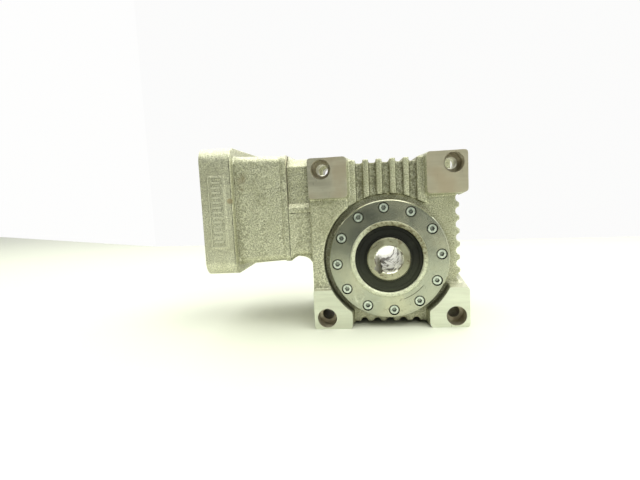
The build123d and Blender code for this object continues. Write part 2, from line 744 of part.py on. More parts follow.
def front_output_seal():
    """Lip seal with a dished outer face and a dust lip."""
    outer = OUT_SEAL_R - SEAT_GAP
    inner = SHAFT_R + RUN_GAP
    face = -OUT_SEAL_AT - OUT_SEAL_W
    shell = 2.2
    return turned_y(
        (-OUT_SEAL_AT, outer),
        (face + 0.6, outer),
        (face, outer - 0.6),
        (face, outer - 2.6),
        (face + 1.4, outer - 3.8),
        (face + 1.8, inner + 2.4),
        (face + 0.6, inner + 1.2),
        (face + 0.6, inner),
        (face + 1.6, inner),
        (face + 2.6, inner + 0.8),
        (face + 4.4, inner + 0.8),
        (face + 5.0, inner),
        (face + 6.0, inner),
        (face + 6.6, inner + 1.6),
        (face + 3.6, inner + 2.6),
        (face + 3.6, outer - shell),
        (-OUT_SEAL_AT, outer - shell),
    )


def input_oil_seal():
    """Lip seal on the quill, seated in the adapter's wall from inside."""
    outer = IN_SEAL_R - SEAT_GAP
    inner = QUILL_R + RUN_GAP
    end = IN_SEAL_AT + IN_SEAL_W
    shell = 2.2
    seal = turned_x(
        (IN_SEAL_AT, outer),
        (IN_SEAL_AT, inner + 1.4),
        (IN_SEAL_AT + 0.8, inner),
        (IN_SEAL_AT + 1.6, inner),
        (IN_SEAL_AT + 2.2, inner + 0.8),
        (end - 2.2, inner + 0.8),
        (end - 1.6, inner),
        (end - 0.8, inner),
        (end - 0.8, inner + 1.6),
        (end - 3.6, inner + 2.6),
        (end - 3.6, outer - shell),
        (end, outer - shell),
        (end, outer),
    )
    return on_worm_axis(seal)


# ---- retaining pieces at the worm's ends ------------------------------------------------
def split_ring(inner, outer, x0, x1, gap):
    """A retaining ring about X with a gap at the top."""
    return ring_x(inner, outer, x0, x1) - block(x0 - 1, x1 + 1, -gap / 2, gap / 2, 0, 40)


def worm_circlip():
    """Outside retaining ring that holds the end bearing's inner ring."""
    start = WORM_END_AT + BEARING_WORM_END[2] + RING_GROOVE_GAP + 0.1
    ring = split_ring(WORM_RING_R + 0.1, END_COLLAR_R - 0.6, start, start + WORM_RING_W - 0.2, 5.0)
    return on_worm_axis(ring)


def housing_circlip():
    """Inside retaining ring that holds the end bearing's outer ring."""
    start = WORM_END_AT + BEARING_WORM_END[2] + RING_GROOVE_GAP + 0.1
    outer = BEARING_WORM_END[1] + HOUSING_RING_DEPTH - 0.1
    return on_worm_axis(split_ring(20.4, outer, start, start + HOUSING_RING_W - 0.2, 9.0))


def end_cap():
    """Pressed cup that closes the bearing bore beyond the worm's end."""
    outer = BEARING_WORM_END[1] - SEAT_GAP
    inside = CASE_RIGHT - 6.5
    outside = CASE_RIGHT - 0.8
    sheet = 1.2
    cup = turned_x(
        (outside - sheet, 0),
        (outside - sheet, outer - 3.0),
        (inside, outer - sheet),
        (inside, outer),
        (outside - 1.0, outer),
        (outside, outer - 1.0),
        (outside, 0),
    )
    return on_worm_axis(cup)


def preload_shim():
    """Shim between the adapter's face and the input bearing's outer ring."""
    outer = BEARING_WORM_IN[1] - SEAT_GAP
    return on_worm_axis(ring_x(21.5, outer, SEAM_X - GASKET_T, WORM_IN_AT))


# ---- oil plug ---------------------------------------------------------------------------
def oil_plug_hole():
    """Spot face and tapped hole through the closed end's wall."""
    hole = bar_x(PLUG_R + THREAD_GAP, PLUG_HOLE_END, PLUG_SEAT + 1, PLUG_Y, PLUG_Z)
    return hole + bar_x(PLUG_HEAD_R + 1.0, PLUG_SEAT, CASE_RIGHT + 5, PLUG_Y, PLUG_Z)


def oil_plug():
    """Hexagon socket plug."""
    plug = Rot(0, 90, 0) * socket_screw(PLUG_R, 10.0, PLUG_HEAD_R, 4.0, 6.0)
    return Pos(PLUG_SEAT + WASHER_T, PLUG_Y, PLUG_Z) * plug


def oil_plug_washer():
    """Sealing washer under the plug's head."""
    ring = ring_x(PLUG_R + 3 * THREAD_GAP, PLUG_HEAD_R, 0, WASHER_T)
    return Pos(PLUG_SEAT, PLUG_Y, PLUG_Z) * ring


# ---- assembly ---------------------------------------------------------------------------
def build():
    """Fill PARTS with every piece."""
    PARTS["housing"] = housing()
    PARTS["motor_adapter"] = motor_adapter()
    PARTS["adapter_gasket"] = adapter_gasket()
    PARTS["adapter_screws"] = adapter_screws()
    PARTS["output_shaft"] = output_shaft()
    PARTS["worm_wheel_rim"] = worm_wheel_rim()
    PARTS["worm_shaft"] = worm_shaft()
    PARTS["input_oil_seal"] = input_oil_seal()
    PARTS["worm_circlip"] = worm_circlip()
    PARTS["housing_circlip"] = housing_circlip()
    PARTS["end_cap"] = end_cap()
    PARTS["preload_shim"] = preload_shim()
    PARTS["oil_plug"] = oil_plug()
    PARTS["oil_plug_washer"] = oil_plug_washer()
    for name, make in (
        ("cover", front_cover),
        ("cover_screws", front_cover_screws),
        ("cover_o_ring", front_cover_o_ring),
        ("output_seal", front_output_seal),
    ):
        piece = make()
        PARTS["front_" + name] = piece
        PARTS["rear_" + name] = rear_of(piece)
    bearing_set("front", BEARING_OUT, -OUT_BEARING_AT - BEARING_OUT[2], about_x=False)
    bearing_set("rear", BEARING_OUT, OUT_BEARING_AT, about_x=False)
    bearing_set("worm_input", BEARING_WORM_IN, WORM_IN_AT, about_x=True)
    bearing_set("worm_end", BEARING_WORM_END, WORM_END_AT, about_x=True)


build()
os.makedirs("parts", exist_ok=True)
for node, shape in PARTS.items():
    export_step(shape, os.path.join("parts", node + ".step"))
    print(node, round(shape.volume), "mm3")
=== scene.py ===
import json
from math import cos, pi, radians, sin

import bmesh
import bpy
import numpy as np
from mathutils import Matrix, Vector


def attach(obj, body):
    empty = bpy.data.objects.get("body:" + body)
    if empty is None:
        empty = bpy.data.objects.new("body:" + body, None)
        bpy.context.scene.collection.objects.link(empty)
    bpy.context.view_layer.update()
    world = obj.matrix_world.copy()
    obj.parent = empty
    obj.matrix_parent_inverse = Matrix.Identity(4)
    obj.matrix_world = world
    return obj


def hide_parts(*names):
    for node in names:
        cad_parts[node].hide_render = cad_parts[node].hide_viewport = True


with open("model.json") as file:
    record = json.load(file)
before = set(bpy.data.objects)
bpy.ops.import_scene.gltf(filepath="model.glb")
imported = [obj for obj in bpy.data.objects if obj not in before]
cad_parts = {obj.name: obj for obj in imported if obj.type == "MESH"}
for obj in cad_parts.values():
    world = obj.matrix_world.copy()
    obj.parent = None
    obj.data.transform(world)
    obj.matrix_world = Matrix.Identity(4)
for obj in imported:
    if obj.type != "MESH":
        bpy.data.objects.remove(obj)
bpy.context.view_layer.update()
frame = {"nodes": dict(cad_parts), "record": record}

# The worm gearbox's looks: two softened castings with machined faces, turned covers, camera, floor and
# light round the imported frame.  The output shaft lies on Y and the worm along X, CENTRES above it.
# Sizes are in millimetres, and are scaled by MM where a mesh or a material needs metres.

MM = 0.001
NODES = frame["nodes"]
SCENE = bpy.context.scene

# ---- sizes of the design ------------------------------------------------------------------
CENTRES = 50.0
WORM_LINE = (0.0, CENTRES)

# gear case: lugs, neck and machined seats
PAD_FACE, PAD_BOTTOM = 60.0, -64.0
UPPER_LUG_DEPTH, LOWER_LUG_DEPTH = 40.0, 48.0
HOLE_X, HOLE_TOP, HOLE_BOTTOM = 59.0, 84.5, -53.5
HOLE_R, CBORE_R, CBORE_DEPTH = 5.5, 9.0, 16.0
CASE_LEFT, CASE_RIGHT, SEAM_X = -71.0, 66.0, -92.0
NECK_Y_HALF, NECK_LINE_Z, NECK_LINE_HALF = 49.5, 45.5, 0.55
WALL_FACE, GROOVE_FLOOR = 45.5, 46.8
COVER_R, COVER_OPENING_R, CHAMBER_R, CHAMBER_HALF = 54.5, 43.0, 50.0, 27.0
WORM_BORE_R, WORM_BORE_END = 20.0, 45.0
INPUT_SEAT_R, INPUT_SEAT_END = 26.0, -76.0
END_SEAT_R, END_SEAT_START = 23.5, 41.0
PLUG_Y, PLUG_Z, PLUG_SEAT = 22.0, -8.2, 59.0
PLUG_SEAT_R, PLUG_HOLE_R, PLUG_HOLE_START = 10.0, 6.05, 38.0

# motor adapter: square flange, bell and the holes in them
NECK_END, FLANGE_BACK, MOTOR_FACE = -92.5, -142.5, -172.5
FLANGE_HALF, BODY_HALF = 60.0, 52.0
PILOT_R, PILOT_DEPTH = 55.0, 4.5
BELL_R, BELL_END = 43.0, -107.0
QUILL_PASS_R, BACK_PASS_R, BACK_PASS_START = 16.0, 21.0, -96.0
INPUT_SEAL_R, INPUT_SEAL_START, INPUT_SEAL_END = 23.5, -102.0, -95.0
SCREW_OUT, SCREW_HOLE_R, SCREW_POCKET_R = 33.5, 4.5, 7.5
TAP_CIRCLE_R, TAP_R, TAP_DEPTH = 65.0, 4.0, 20.0

# turned parts and marks on the surfaces
LIP_R, BORE_R = 35.0, 12.5
STAIN_SPOT = (-145.0, -60.0, 60.0)
SCRATCH_R, SCRATCH_ANGLE = 39.2, -0.97

# how the castings are made: machined planes are pushed out by PUSH before softening, and cut back flat
# after it, with tools that reach to FAR or FARTHER where they pass right through
PUSH = 1.6
VOXEL = 0.8
EDGE_ANGLE = 32.0
CASE_FACES, BELL_FACES = 185000, 120000
FAR, FARTHER = 90.0, 200.0

LUG_HOLES = [(sx * HOLE_X, z) for sx in (-1, 1) for z in (HOLE_TOP, HOLE_BOTTOM)]
CORNERS = ((1, 1), (-1, 1), (-1, -1), (1, -1))
SCREW_HOLES = [(sy * SCREW_OUT, CENTRES + sz * SCREW_OUT) for sy, sz in CORNERS]
TAP_OUT = TAP_CIRCLE_R * cos(pi / 4)
TAP_HOLES = [(sy * TAP_OUT, CENTRES + sz * TAP_OUT) for sy, sz in CORNERS]


# ---- material nodes -----------------------------------------------------------------------
class Paint:
    """One material's node tree, with short calls for the nodes used here."""

    def __init__(self, name):
        self.material = bpy.data.materials.new(name)
        self.material.use_nodes = True
        self.tree = self.material.node_tree
        self.tree.nodes.clear()
        self.output = self.add("ShaderNodeOutputMaterial")
        self.shader = self.add("ShaderNodeBsdfPrincipled")
        self.tree.links.new(self.shader.outputs[0], self.output.inputs["Surface"])
        self.place = self.add("ShaderNodeTexCoord").outputs["Object"]

    def add(self, kind):
        return self.tree.nodes.new(kind)

    def feed(self, socket, value):
        """A socket takes another node's output, a colour or a number."""
        if hasattr(value, "is_linked"):
            self.tree.links.new(value, socket)
        elif isinstance(value, (tuple, list)) and len(value) == 3 and socket.type == "RGBA":
            socket.default_value = (*value, 1.0)
        else:
            socket.default_value = value

    def noise(self, scale, detail=3.0, roughness=0.5, distortion=0.0, place=None):
        node = self.add("ShaderNodeTexNoise")
        self.feed(node.inputs["Vector"], self.place if place is None else place)
        node.inputs["Scale"].default_value = scale
        node.inputs["Detail"].default_value = detail
        node.inputs["Roughness"].default_value = roughness
        node.inputs["Distortion"].default_value = distortion
        return node.outputs["Fac"]

    def cells(self, scale):
        """Distance to the nearest of many scattered points."""
        node = self.add("ShaderNodeTexVoronoi")
        self.feed(node.inputs["Vector"], self.place)
        node.inputs["Scale"].default_value = scale
        return node.outputs["Distance"]

    def calc(self, operation, a, b=0.0):
        node = self.add("ShaderNodeMath")
        node.operation = operation
        self.feed(node.inputs[0], a)
        self.feed(node.inputs[1], b)
        return node.outputs[0]

    def length(self, a, b):
        """The length of the arrow (a, b)."""
        return self.calc("SQRT", self.calc("ADD", self.calc("MULTIPLY", a, a), self.calc("MULTIPLY", b, b)))

    def along(self, place, low, high, out_low=0.0, out_high=1.0):
        """A span of a coordinate or distance, with low and high in millimetres."""
        return self.span(place, low * MM, high * MM, out_low, out_high)

    def near(self, value, centre, inner, outer, most=1.0):
        """most where value is within inner of centre, falling to 0 at outer."""
        away = self.calc("ABSOLUTE", self.calc("SUBTRACT", value, centre))
        return self.span(away, inner, outer, most, 0.0)

    def span(self, value, low, high, out_low=0.0, out_high=1.0):
        """A smooth step from out_low, at low, to out_high, at high."""
        node = self.add("ShaderNodeMapRange")
        node.interpolation_type = "SMOOTHSTEP"
        self.feed(node.inputs["Value"], value)
        node.inputs["From Min"].default_value = low
        node.inputs["From Max"].default_value = high
        node.inputs["To Min"].default_value = out_low
        node.inputs["To Max"].default_value = out_high
        return node.outputs["Result"]

    def mix(self, share, a, b):
        """Colour a, with a share of colour b."""
        node = self.add("ShaderNodeMix")
        node.data_type = "RGBA"
        self.feed(node.inputs[0], share)
        self.feed(node.inputs[6], a)
        self.feed(node.inputs[7], b)
        return node.outputs[2]

    def stretched(self, scale, offset=(0.0, 0.0, 0.0)):
        """Coordinates scaled by axis, so that a texture can run in streaks."""
        node = self.add("ShaderNodeMapping")
        self.feed(node.inputs["Vector"], self.place)
        node.inputs["Scale"].default_value = scale
        node.inputs["Location"].default_value = offset
        return node.outputs[0]

    def xyz(self):
        node = self.add("ShaderNodeSeparateXYZ")
        self.feed(node.inputs[0], self.place)
        return node.outputs

    def facing(self):
        """The surface normal's x, y and z."""
        geometry = self.add("ShaderNodeNewGeometry")
        node = self.add("ShaderNodeSeparateXYZ")
        self.feed(node.inputs[0], geometry.outputs["Normal"])
        return node.outputs

    def shade(self, distance):
        """1 in the open, falling towards 0 in corners; distance is in millimetres."""
        node = self.add("ShaderNodeAmbientOcclusion")
        node.samples = 6
        node.inputs["Distance"].default_value = distance * MM
        return node.outputs["AO"]

    def bump(self, height, distance, strength):
        """A normal that follows height, with distance in millimetres."""
        node = self.add("ShaderNodeBump")
        node.inputs["Strength"].default_value = strength
        node.inputs["Distance"].default_value = distance * MM
        self.feed(node.inputs["Height"], height)
        return node.outputs[0]

    def finish(self, colour, roughness, metallic, normal=None):
        self.feed(self.shader.inputs["Base Color"], colour)
        self.feed(self.shader.inputs["Roughness"], roughness)
        self.feed(self.shader.inputs["Metallic"], metallic)
        if normal is not None:
            self.feed(self.shader.inputs["Normal"], normal)
        return self.material


def cast_aluminium():
    """Blasted sand casting: fine grain, sparkle, small pits, brown stains and painted shade in the corners.
    """
    p = Paint("cast_aluminium")
    x, y, z = p.xyz()
    grain = p.noise(900, 3.0, 0.6)
    coarse = p.noise(330, 2.0, 0.5)
    cloud = p.noise(26, 3.0, 0.55)
    patch = p.noise(11, 2.0, 0.5, 0.4)
    tone = p.mix(p.span(grain, 0.38, 0.64), (0.37, 0.366, 0.255), (0.85, 0.845, 0.66))
    tone = p.mix(p.span(coarse, 0.35, 0.7, 0.0, 0.35), tone, (0.56, 0.57, 0.40))
    tone = p.mix(p.span(cloud, 0.42, 0.68, 0.0, 0.4), tone, (0.37, 0.36, 0.22))
    tone = p.mix(p.span(patch, 0.5, 0.72, 0.0, 0.25), tone, (0.40, 0.43, 0.35))
    # small dark pits
    spots = p.span(p.cells(330), 0.10, 0.17, 1.0, 0.0)
    chosen = p.span(p.noise(120, 1.0), 0.60, 0.64)
    pits = p.calc("MULTIPLY", spots, chosen)
    tone = p.mix(pits, tone, (0.05, 0.045, 0.03))
    # brown stains, and one more beside the flange's edge
    stain = p.noise(38, 4.0, 0.6, 0.8, p.stretched((1, 1, 0.5), (0.3, 0.1, 0.2)))
    tone = p.mix(p.span(stain, 0.62, 0.76, 0.0, 0.5), tone, (0.26, 0.19, 0.10))
    away = [p.calc("SUBTRACT", axis, place * MM) for axis, place in zip((x, y, z), STAIN_SPOT)]
    square_x, square_y, square_z = [p.calc("MULTIPLY", part, part) for part in away]
    oval = p.calc("ADD", square_y, p.calc("MULTIPLY", square_z, 0.8))
    oval = p.calc("ADD", p.calc("MULTIPLY", square_x, 0.6), oval)
    tone = p.mix(p.span(oval, 3 * MM**2, 7 * MM**2, 0.75, 0.0), tone, (0.36, 0.26, 0.11))
    # painted light: what faces up is paler
    tone = p.mix(p.span(p.facing()[2], 0.35, 0.9, 0.0, 0.4), tone, (0.88, 0.88, 0.76))
    # painted shade darkens the corners, mottled by the grain
    corner = p.span(p.shade(8.0), 0.3, 0.95, 1.0, 0.0)
    painted_shade = p.calc("MULTIPLY", corner, p.span(grain, 0.3, 0.6, 1.0, 0.65))
    tone = p.mix(painted_shade, tone, (0.10, 0.092, 0.055))
    # dark speckle with painted shade on the groove floors between the upper ribs
    depth = p.calc("ABSOLUTE", y)
    floor = p.near(depth, GROOVE_FLOOR * MM, 0.8 * MM, 1.6 * MM)
    floor = p.calc("MULTIPLY", floor, p.along(p.calc("ABSOLUTE", x), 36, 38, 1.0, 0.0))
    floor = p.calc("MULTIPLY", floor, p.along(z, 54, 58))
    speckle_and_shade = p.span(p.noise(420, 2.0, 0.6), 0.40, 0.62, 0.12, 0.62)
    tone = p.mix(p.calc("MULTIPLY", floor, speckle_and_shade), tone, (0.10, 0.095, 0.06))
    # the flange is paler, and most of all its raised panels
    tone = p.mix(p.along(x, -146, -140, 0.17, 0.0), tone, (1.0, 0.99, 0.84))
    proud = p.along(depth, FLANGE_HALF + 0.9, FLANGE_HALF + 1.2, 0.0, 0.5)
    tone = p.mix(proud, tone, (0.80, 0.80, 0.64))
    height = p.calc("ADD", grain, p.calc("MULTIPLY", coarse, 1.5))
    height = p.calc("SUBTRACT", height, p.calc("MULTIPLY", pits, 1.5))
    normal = p.bump(height, 0.28, 0.8)
    return p.finish(tone, p.span(coarse, 0.3, 0.7, 0.42, 0.6), 0.75, normal)


def milled_aluminium():
    """Milled lug faces: satin, with faint cutter marks, brown film and scuffs."""
    p = Paint("milled_aluminium")
    streak = p.noise(60, 4.0, 0.6, 0.2, p.stretched((0.35, 1, 3.2)))
    fine = p.noise(500, 2.0, 0.6, 0.0, p.stretched((0.08, 1, 2.5)))
    cloud = p.noise(32, 3.0, 0.55)
    x, _, z = p.xyz()
    # the lower lugs are pale, the upper ones brown, most of all on the right
    upper = p.along(z, 0, 50)
    tone = p.mix(p.span(streak, 0.35, 0.7), (0.72, 0.74, 0.62), (0.83, 0.86, 0.73))
    brown = p.mix(p.span(streak, 0.35, 0.7), (0.62, 0.59, 0.47), (0.76, 0.73, 0.60))
    brown = p.mix(p.along(x, -20, 50, 0.0, 0.6), brown, (0.50, 0.44, 0.31))
    tone = p.mix(upper, tone, brown)
    film = p.calc("MULTIPLY", upper, p.span(cloud, 0.46, 0.68, 0.0, 0.6))
    tone = p.mix(film, tone, (0.50, 0.41, 0.29))
    scuff = p.span(p.noise(220, 2.0, 0.7, 1.5, p.stretched((1.0, 1, 0.25))), 0.68, 0.74, 0.0, 0.5)
    tone = p.mix(scuff, tone, (0.30, 0.27, 0.21))
    normal = p.bump(fine, 0.04, 0.5)
    return p.finish(tone, p.span(cloud, 0.3, 0.7, 0.38, 0.50), 0.9, normal)


def bored_aluminium():
    """Lug holes: painted light in the upper, painted shade in the lower, brown with dust in the
    counterbores.
    """
    p = Paint("bored_aluminium")
    cloud = p.noise(110, 4.0, 0.6)
    rings = p.noise(240, 2.0, 0.5, 0.0, p.stretched((0.4, 4.0, 0.4)))
    x, _, z = p.xyz()
    tone = p.mix(p.span(cloud, 0.38, 0.66), (0.42, 0.37, 0.27), (0.74, 0.70, 0.57))
    painted_light_tone = p.mix(p.span(cloud, 0.42, 0.50), (0.56, 0.54, 0.46), (0.95, 0.95, 0.88))
    aside = p.calc("SUBTRACT", p.calc("ABSOLUTE", x), HOLE_X * MM)
    # painted light on the upper holes' walls, painted shade on the lower ones
    for centre, share, painted_hole_lighting in ((HOLE_TOP, 0.95, painted_light_tone), (HOLE_BOTTOM, 0.7, (0.16, 0.15, 0.12))):
        away = p.length(aside, p.calc("SUBTRACT", z, centre * MM))
        inside = p.along(away, HOLE_R + 0.1, HOLE_R + 0.3, share, 0.0)
        tone = p.mix(inside, tone, painted_hole_lighting)
    tone = p.mix(p.span(rings, 0.4, 0.7, 0.0, 0.5), tone, (0.55, 0.50, 0.40))
    return p.finish(tone, 0.45, 0.6, p.bump(rings, 0.1, 0.5))


def turned_aluminium():
    """Turned cover faces: satin, concentric marks, grey film, speckled lip, and painted shade on the left
    and in corners.
    """
    p = Paint("turned_aluminium")
    x, y, z = p.xyz()
    radius = p.length(x, z)
    join = p.add("ShaderNodeCombineXYZ")
    p.feed(join.inputs[0], radius)
    rings = p.noise(1500, 2.0, 0.6, 0.0, join.outputs[0])
    cloud = p.noise(28, 3.0, 0.5, 0.3)
    fine = p.noise(260, 3.0, 0.6)
    tone = p.mix(p.span(cloud, 0.35, 0.7), (0.42, 0.44, 0.36), (0.61, 0.605, 0.455))
    tone = p.mix(p.span(fine, 0.5, 0.75, 0.0, 0.3), tone, (0.36, 0.34, 0.24))
    wide_rings = p.noise(330, 2.0, 0.7, 0.0, join.outputs[0])
    tone = p.mix(p.span(wide_rings, 0.35, 0.65, 0.0, 0.12), tone, (0.22, 0.225, 0.17))
    # pale scuffs and dark marks
    scuff = p.span(p.noise(120, 3.0, 0.7, 2.0), 0.62, 0.68, 0.0, 0.5)
    tone = p.mix(scuff, tone, (0.74, 0.75, 0.62))
    mark = p.span(p.noise(240, 2.0, 0.6, 3.0), 0.66, 0.70, 0.0, 0.7)
    tone = p.mix(mark, tone, (0.12, 0.115, 0.08))
    # painted shade on the left side, and one curved scratch on the front cover
    angle = p.calc("ARCTAN2", z, x)
    left = p.calc("MULTIPLY", p.along(x, -54, -25, 0.5, 0.0), p.along(z, -45, -22))
    tone = p.mix(left, tone, (0.28, 0.30, 0.24))
    scratch = p.near(radius, SCRATCH_R * MM, 0.2 * MM, 0.5 * MM, 0.9)
    scratch = p.calc("MULTIPLY", scratch, p.near(angle, SCRATCH_ANGLE, 0.24, 0.32))
    front = p.along(y, -1, 1, 1.0, 0.0)
    tone = p.mix(p.calc("MULTIPLY", scratch, front), tone, (0.10, 0.09, 0.06))
    # the raised lip is rougher, and speckled above
    lip = p.along(radius, LIP_R - 0.2, LIP_R + 0.4, 1.0, 0.0)
    upper = p.along(p.calc("ADD", z, p.calc("MULTIPLY", x, 0.5)), 4, 30)
    most = p.calc("ADD", 0.25, p.calc("MULTIPLY", upper, 0.65))
    speck = p.calc("MULTIPLY", p.span(p.noise(420, 2.0, 0.6), 0.46, 0.60), most)
    rough_lip = p.mix(upper, (0.80, 0.82, 0.64), (0.38, 0.37, 0.25))
    rough_lip = p.mix(speck, rough_lip, (0.16, 0.14, 0.08))
    tone = p.mix(lip, tone, rough_lip)
    # painted shade in the corners
    painted_shade = p.span(p.shade(3.5), 0.2, 0.8, 0.8, 0.0)
    tone = p.mix(painted_shade, tone, (0.08, 0.075, 0.045))
    normal = p.bump(p.calc("ADD", rings, p.calc("MULTIPLY", fine, 0.6)), 0.04, 0.6)
    rough = p.calc("ADD", p.span(cloud, 0.3, 0.7, 0.17, 0.27), p.calc("MULTIPLY", lip, 0.3))
    metal = p.calc("SUBTRACT", 0.95, p.calc("MULTIPLY", lip, 0.35))
    return p.finish(tone, rough, metal, normal)


def black_rubber():
    """Matt nitrile with a faint bloom of dust."""
    p = Paint("black_rubber")
    dust = p.noise(70, 4.0, 0.6)
    fine = p.noise(900, 2.0, 0.5)
    tone = p.mix(p.span(dust, 0.5, 0.8, 0.0, 0.6), (0.010, 0.0105, 0.008), (0.060, 0.063, 0.044))
    tone = p.mix(p.along(p.xyz()[2], -25, 12, 0.45, 0.0), tone, (0.085, 0.092, 0.060))
    p.shader.inputs["Specular IOR Level"].default_value = 0.28
    return p.finish(tone, p.span(dust, 0.3, 0.7, 0.55, 0.75), 0.0, p.bump(fine, 0.06, 0.4))


def zinc_steel():
    """Zinc plating: pale blue-green, slightly cloudy, with painted shade in the sockets."""
    p = Paint("zinc_steel")
    cloud = p.noise(260, 3.0, 0.6)
    tone = p.mix(p.span(cloud, 0.35, 0.7), (0.58, 0.65, 0.57), (0.84, 0.90, 0.80))
    # painted shade in the sockets and corners
    painted_shade = p.span(p.shade(2.8), 0.35, 0.80, 0.94, 0.0)
    tone = p.mix(painted_shade, tone, (0.035, 0.036, 0.028))
    return p.finish(tone, p.span(cloud, 0.3, 0.7, 0.26, 0.38), 0.65, p.bump(cloud, 0.03, 0.5))


def shaft_steel():
    """Turned steel with a brown film, light rust and painted light in the bore."""
    p = Paint("shaft_steel")
    cloud = p.noise(60, 4.0, 0.6, 0.4)
    fine = p.noise(420, 3.0, 0.6)
    tone = p.mix(p.span(cloud, 0.35, 0.7), (0.31, 0.30, 0.21), (0.47, 0.465, 0.345))
    x, _, z = p.xyz()
    radius = p.length(x, z)
    inside = p.along(radius, BORE_R + 0.6, BORE_R + 1.2, 1.0, 0.0)
    blotch = p.noise(95, 5.0, 0.7, 0.8, p.stretched((1.0, 0.35, 1.0)))
    # light rust outside, blotches in the bore
    rust = p.span(p.noise(130, 5.0, 0.7, 0.6), 0.56, 0.66, 0.0, 0.8)
    rust = p.calc("MAXIMUM", rust, p.calc("MULTIPLY", inside, p.span(blotch, 0.48, 0.54, 0.0, 0.85)))
    tone = p.mix(p.along(z, -18, 2, 0.45, 0.0), tone, (0.66, 0.65, 0.46))
    # painted light: the bore's inside is nearly white, in place of light from the wall behind
    tone = p.mix(inside, tone, (0.97, 0.97, 0.84))
    tone = p.mix(rust, tone, (0.13, 0.095, 0.05))
    rough = p.calc("ADD", p.span(cloud, 0.3, 0.7, 0.26, 0.38), p.calc("MULTIPLY", rust, 0.25))
    metal = p.calc("SUBTRACT", 0.95, p.calc("MULTIPLY", rust, 0.5))
    return p.finish(tone, rough, metal, p.bump(fine, 0.08, 0.5))


def plain_metal(name, dark, light, roughness, scale=200, metallic=1.0, depth=0.04):
    """A metal with a fine two-tone grain and its own roughness."""
    p = Paint(name)
    cloud = p.noise(scale, 3.0, 0.6)
    tone = p.mix(p.span(cloud, 0.35, 0.7), dark, light)
    rough = p.span(cloud, 0.3, 0.7, roughness * 0.85, roughness * 1.2)
    return p.finish(tone, rough, metallic, p.bump(cloud, depth, 0.5))


def floor_material():
    """Plain pale paper."""
    p = Paint("floor_paper")
    cloud = p.noise(3, 2.0, 0.5)
    tone = p.mix(p.span(cloud, 0.3, 0.7), (0.84, 0.855, 0.76), (0.827, 0.842, 0.749))
    return p.finish(tone, 0.75, 0.0)


def wall_material(name, glow):
    """A pale wall that glows evenly, as a lit one would."""
    p = Paint(name)
    p.shader.inputs["Emission Color"].default_value = (1.0, 1.0, 0.995, 1.0)
    p.shader.inputs["Emission Strength"].default_value = glow
    p.shader.inputs["Specular IOR Level"].default_value = 0.0
    return p.finish((0.0, 0.0, 0.0), 1.0, 0.0)


CAST = cast_aluminium()
MILLED = milled_aluminium()
BORED = bored_aluminium()
TURNED = turned_aluminium()
SLOT_MATERIALS = {
    "cast_aluminium": CAST,
    "machined_aluminium": TURNED,
    "black_rubber": black_rubber(),
    "zinc_steel": zinc_steel(),
    "shaft_steel": shaft_steel(),
}
# dark tone, light tone, roughness; then grain scale, metallic and bump depth where they differ
PLAIN_METALS = {
    "worm_steel": ((0.42, 0.42, 0.42), (0.62, 0.62, 0.62), 0.25),
    "bronze": ((0.52, 0.33, 0.14), (0.70, 0.48, 0.24), 0.32),
    "bearing_steel": ((0.62, 0.63, 0.65), (0.80, 0.81, 0.83), 0.14),
    "cage_steel": ((0.45, 0.43, 0.38), (0.60, 0.58, 0.52), 0.35),
    "spring_steel": ((0.09, 0.09, 0.10), (0.19, 0.19, 0.21), 0.35),
    "cap_steel": ((0.13, 0.13, 0.12), (0.24, 0.24, 0.23), 0.5, 120, 0.6, 0.1),
    "gasket_fibre": ((0.04, 0.037, 0.03), (0.09, 0.08, 0.07), 0.85, 600, 0.0, 0.1),
    "copper": ((0.55, 0.26, 0.14), (0.76, 0.42, 0.26), 0.35),
}
for slot, values in PLAIN_METALS.items():
    SLOT_MATERIALS[slot] = plain_metal(slot, *values)
for part in frame["record"]["subparts"]:
    node = NODES[part["node"]]
    node.data.materials.clear()
    node.data.materials.append(SLOT_MATERIALS[part["material_slot"]])


# ---- mesh tools ---------------------------------------------------------------------------
def new_piece(name, mesh):
    piece = bpy.data.objects.new(name, mesh)
    SCENE.collection.objects.link(piece)
    return piece


def cylinder(radius, start, end, axis, centre=(0.0, 0.0), segments=128):
    """A closed cylinder mesh along X or Y; centre gives the other two coordinates in order."""
    bm = bmesh.new()
    bmesh.ops.create_cone(
        bm, cap_ends=True, segments=segments, radius1=radius, radius2=radius, depth=end - start
    )
    middle = (start + end) / 2
    if axis == "X":
        turn, shift = Matrix.Rotation(pi / 2, 4, "Y"), Vector((middle, *centre))
    else:
        turn, shift = Matrix.Rotation(pi / 2, 4, "X"), Vector((centre[0], middle, centre[1]))
    bm.transform(Matrix.Scale(MM, 4) @ Matrix.Translation(shift) @ turn)
    mesh = bpy.data.meshes.new("tool")
    bm.to_mesh(mesh)
    bm.free()
    return mesh


def box(low, high):
    """A closed box mesh between two corners."""
    bm = bmesh.new()
    bmesh.ops.create_cube(bm, size=1.0)
    size = [b - a for a, b in zip(low, high)]
    centre = Vector([(a + b) / 2 for a, b in zip(low, high)])
    bm.transform(Matrix.Scale(MM, 4) @ Matrix.Translation(centre) @ Matrix.Diagonal((*size, 1.0)))
    mesh = bpy.data.meshes.new("tool")
    bm.to_mesh(mesh)
    bm.free()
    return mesh


def joined(meshes):
    """One mesh holding several."""
    bm = bmesh.new()
    for mesh in meshes:
        bm.from_mesh(mesh)
        bpy.data.meshes.remove(mesh)
    whole = bpy.data.meshes.new("tool")
    bm.to_mesh(whole)
    bm.free()
    return whole


def settle(piece):
    """Applies the piece's modifiers to its mesh."""
    bpy.context.view_layer.update()
    graph = bpy.context.evaluated_depsgraph_get()
    mesh = bpy.data.meshes.new_from_object(piece.evaluated_get(graph))
    old = piece.data
    piece.modifiers.clear()
    piece.data = mesh
    bpy.data.meshes.remove(old)


